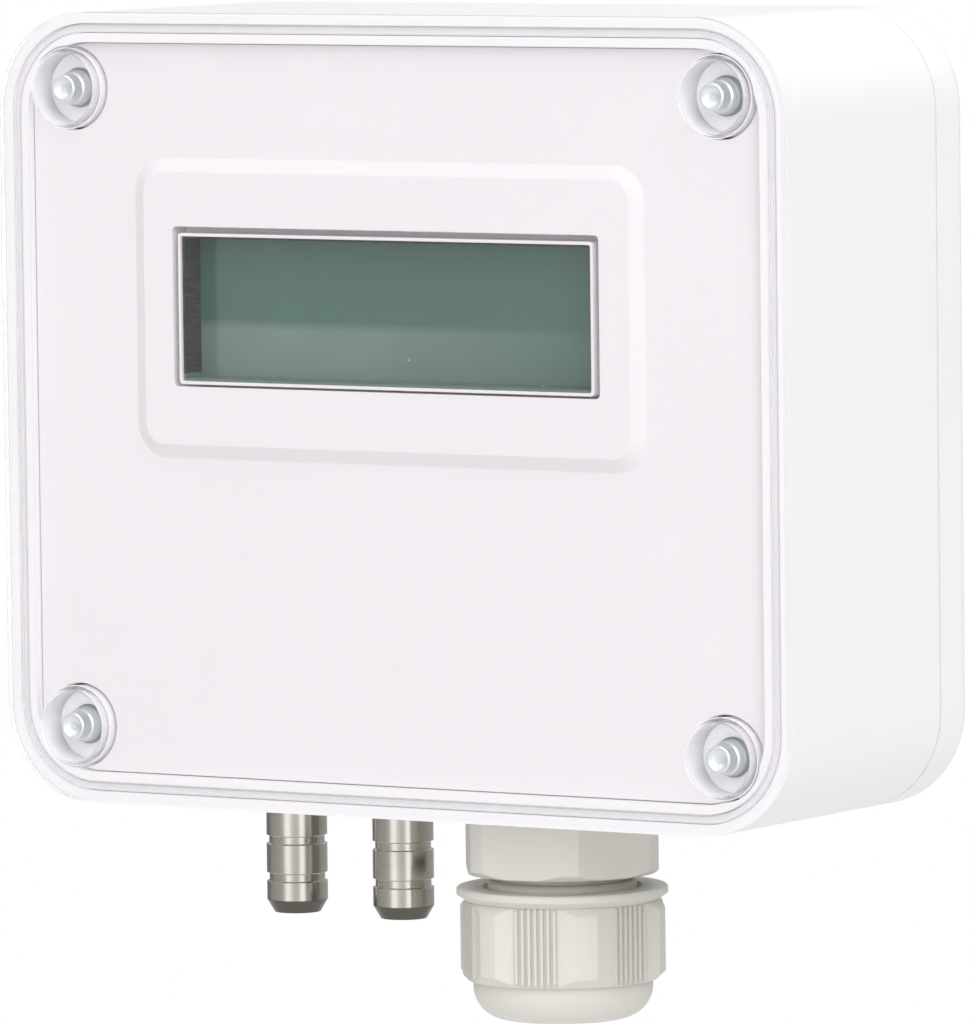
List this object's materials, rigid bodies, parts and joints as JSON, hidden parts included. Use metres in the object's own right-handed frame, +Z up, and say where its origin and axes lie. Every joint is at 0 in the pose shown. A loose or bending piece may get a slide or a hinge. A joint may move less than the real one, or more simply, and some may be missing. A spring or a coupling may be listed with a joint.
{
  "type": "differential pressure transmitter",
  "caption": "Wall-type differential pressure transmitter: white case with clear screwed lid, display, two hose ports and a cable gland pointing down.",
  "frame": {"origin": "centre of the case's back face, on the wall plane", "axes": "+X to the right seen from the front, +Y out of the back into the wall, +Z up; ports and gland point down along -Z"},
  "size_m": [0.115, 0.045, 0.1265],
  "materials": {
    "white_shell": "glossy satin white polycarbonate",
    "clear_lid": "clear polycarbonate with a faint lilac cast",
    "white_panel": "smooth white",
    "display_glass": "grey-green liquid crystal glass",
    "display_foam": "dark foam",
    "backlight_plastic": "milky",
    "circuit_board": "green solder mask",
    "chip_black": "moulded black",
    "terminal_green": "moulded green",
    "screw_steel": "bright zinc-plated",
    "port_steel": "turned stainless steel",
    "brass": "turned",
    "can_aluminium": "drawn can",
    "gland_polyamide": "light warm grey polyamide",
    "seal_rubber": "black rubber",
    "silicone": "translucent silicone",
    "nylon": "natural nylon"
  },
  "bodies": {
    "case": {"rear_base": "white_shell", "housing": "white_shell", "lid_gasket": "silicone", "faceplate": "white_panel", "display_frame": "white_panel", "display_liner": "display_foam", "lcd_panel": "display_glass", "lcd_holder": "backlight_plastic", "display_board": "circuit_board", "display_screws": "screw_steel", "board_header": "chip_black", "board_socket": "chip_black", "main_board": "circuit_board", "board_screws": "screw_steel", "base_screws": "screw_steel", "screw_inserts": "brass", "pressure_sensor": "chip_black", "controller_chip": "chip_black", "output_chip": "chip_black", "supply_capacitor": "can_aluminium", "button_case": "chip_black", "terminal_block": "terminal_green", "terminal_contacts": "brass", "gland_body": "gland_polyamide", "gland_washer": "seal_rubber", "gland_locknut": "gland_polyamide", "port_high": "port_steel", "port_nut_high": "brass", "port_seal_high": "seal_rubber", "sensor_tube_high": "silicone", "port_low": "port_steel", "port_nut_low": "brass", "port_seal_low": "seal_rubber", "sensor_tube_low": "silicone"},
    "lid": {"lid": "clear_lid"},
    "gland_seal": {"gland_seal": "seal_rubber"},
    "gland_nut": {"gland_nut": "gland_polyamide"},
    "zero_button": {"button_plunger": "chip_black"},
    "retainer_tl": {"screw_retainer_tl": "nylon"},
    "screw_tl": {"lid_screw_tl": "screw_steel"},
    "retainer_tr": {"screw_retainer_tr": "nylon"},
    "screw_tr": {"lid_screw_tr": "screw_steel"},
    "retainer_bl": {"screw_retainer_bl": "nylon"},
    "screw_bl": {"lid_screw_bl": "screw_steel"},
    "retainer_br": {"screw_retainer_br": "nylon"},
    "screw_br": {"lid_screw_br": "screw_steel"},
    "terminal_screw_1": {"terminal_screw_1": "screw_steel"},
    "terminal_cage_1": {"terminal_cage_1": "brass"},
    "terminal_screw_2": {"terminal_screw_2": "screw_steel"},
    "terminal_cage_2": {"terminal_cage_2": "brass"},
    "terminal_screw_3": {"terminal_screw_3": "screw_steel"},
    "terminal_cage_3": {"terminal_cage_3": "brass"},
    "terminal_screw_4": {"terminal_screw_4": "screw_steel"},
    "terminal_cage_4": {"terminal_cage_4": "brass"}
  },
  "joints": [
    {"name": "lid_lift_off", "type": "slide", "parent": "case", "child": "lid", "axis": [0, -1, 0], "range_m": [0, 0.045]},
    {"name": "screw_travel_tl", "type": "slide", "parent": "lid", "child": "retainer_tl", "axis": [0, -1, 0], "range_m": [0, 0.00385]},
    {"name": "screw_turn_tl", "type": "hinge", "parent": "retainer_tl", "child": "screw_tl", "pos_m": [-0.0477, -0.0395, 0.0404], "axis": [0, -1, 0], "range_deg": [0, 1985]},
    {"name": "screw_travel_tr", "type": "slide", "parent": "lid", "child": "retainer_tr", "axis": [0, -1, 0], "range_m": [0, 0.00385]},
    {"name": "screw_turn_tr", "type": "hinge", "parent": "retainer_tr", "child": "screw_tr", "pos_m": [0.0477, -0.0395, 0.0404], "axis": [0, -1, 0], "range_deg": [0, 1985]},
    {"name": "screw_travel_bl", "type": "slide", "parent": "lid", "child": "retainer_bl", "axis": [0, -1, 0], "range_m": [0, 0.00385]},
    {"name": "screw_turn_bl", "type": "hinge", "parent": "retainer_bl", "child": "screw_bl", "pos_m": [-0.0477, -0.0395, -0.0404], "axis": [0, -1, 0], "range_deg": [0, 1985]},
    {"name": "screw_travel_br", "type": "slide", "parent": "lid", "child": "retainer_br", "axis": [0, -1, 0], "range_m": [0, 0.00385]},
    {"name": "screw_turn_br", "type": "hinge", "parent": "retainer_br", "child": "screw_br", "pos_m": [0.0477, -0.0395, -0.0404], "axis": [0, -1, 0], "range_deg": [0, 1985]},
    {"name": "gland_squeeze", "type": "slide", "parent": "case", "child": "gland_seal", "axis": [0, 0, 1], "range_m": [-0.00301, 0.00136]},
    {"name": "gland_nut_turn", "type": "hinge", "parent": "gland_seal", "child": "gland_nut", "pos_m": [0.0116, -0.023, -0.065], "axis": [0, 0, 1], "range_deg": [-720, 324]},
    {"name": "terminal_screw_turn_1", "type": "hinge", "parent": "case", "child": "terminal_screw_1", "pos_m": [0.009, -0.026, -0.02395], "axis": [0, 1, 0], "range_deg": [-905, 725]},
    {"name": "terminal_cage_rise_1", "type": "slide", "parent": "case", "child": "terminal_cage_1", "axis": [0, 1, 0], "range_m": [-0.001, 0.00125]},
    {"name": "terminal_screw_turn_2", "type": "hinge", "parent": "case", "child": "terminal_screw_2", "pos_m": [0.01408, -0.026, -0.02395], "axis": [0, 1, 0], "range_deg": [-905, 725]},
    {"name": "terminal_cage_rise_2", "type": "slide", "parent": "case", "child": "terminal_cage_2", "axis": [0, 1, 0], "range_m": [-0.001, 0.00125]},
    {"name": "terminal_screw_turn_3", "type": "hinge", "parent": "case", "child": "terminal_screw_3", "pos_m": [0.01916, -0.026, -0.02395], "axis": [0, 1, 0], "range_deg": [-905, 725]},
    {"name": "terminal_cage_rise_3", "type": "slide", "parent": "case", "child": "terminal_cage_3", "axis": [0, 1, 0], "range_m": [-0.001, 0.00125]},
    {"name": "terminal_screw_turn_4", "type": "hinge", "parent": "case", "child": "terminal_screw_4", "pos_m": [0.02424, -0.026, -0.02395], "axis": [0, 1, 0], "range_deg": [-905, 725]},
    {"name": "terminal_cage_rise_4", "type": "slide", "parent": "case", "child": "terminal_cage_4", "axis": [0, 1, 0], "range_m": [-0.001, 0.00125]},
    {"name": "zero_button_press", "type": "slide", "parent": "case", "child": "zero_button", "axis": [0, 1, 0], "range_m": [0, 0.00025], "stiffness_N_per_m": 4000, "springref_m": -0.00005}
  ],
  "couplings": [
    {"joint": "screw_turn_tl", "follows": "screw_travel_tl", "rad_per_m": 8976},
    {"joint": "screw_turn_tr", "follows": "screw_travel_tr", "rad_per_m": 8976},
    {"joint": "screw_turn_bl", "follows": "screw_travel_bl", "rad_per_m": 8976},
    {"joint": "screw_turn_br", "follows": "screw_travel_br", "rad_per_m": 8976},
    {"joint": "gland_squeeze", "follows": "gland_nut_turn", "m_per_rad": 0.00023873},
    {"joint": "terminal_screw_turn_1", "follows": "terminal_cage_rise_1", "rad_per_m": -12566},
    {"joint": "terminal_screw_turn_2", "follows": "terminal_cage_rise_2", "rad_per_m": -12566},
    {"joint": "terminal_screw_turn_3", "follows": "terminal_cage_rise_3", "rad_per_m": -12566},
    {"joint": "terminal_screw_turn_4", "follows": "terminal_cage_rise_4", "rad_per_m": -12566}
  ]
}
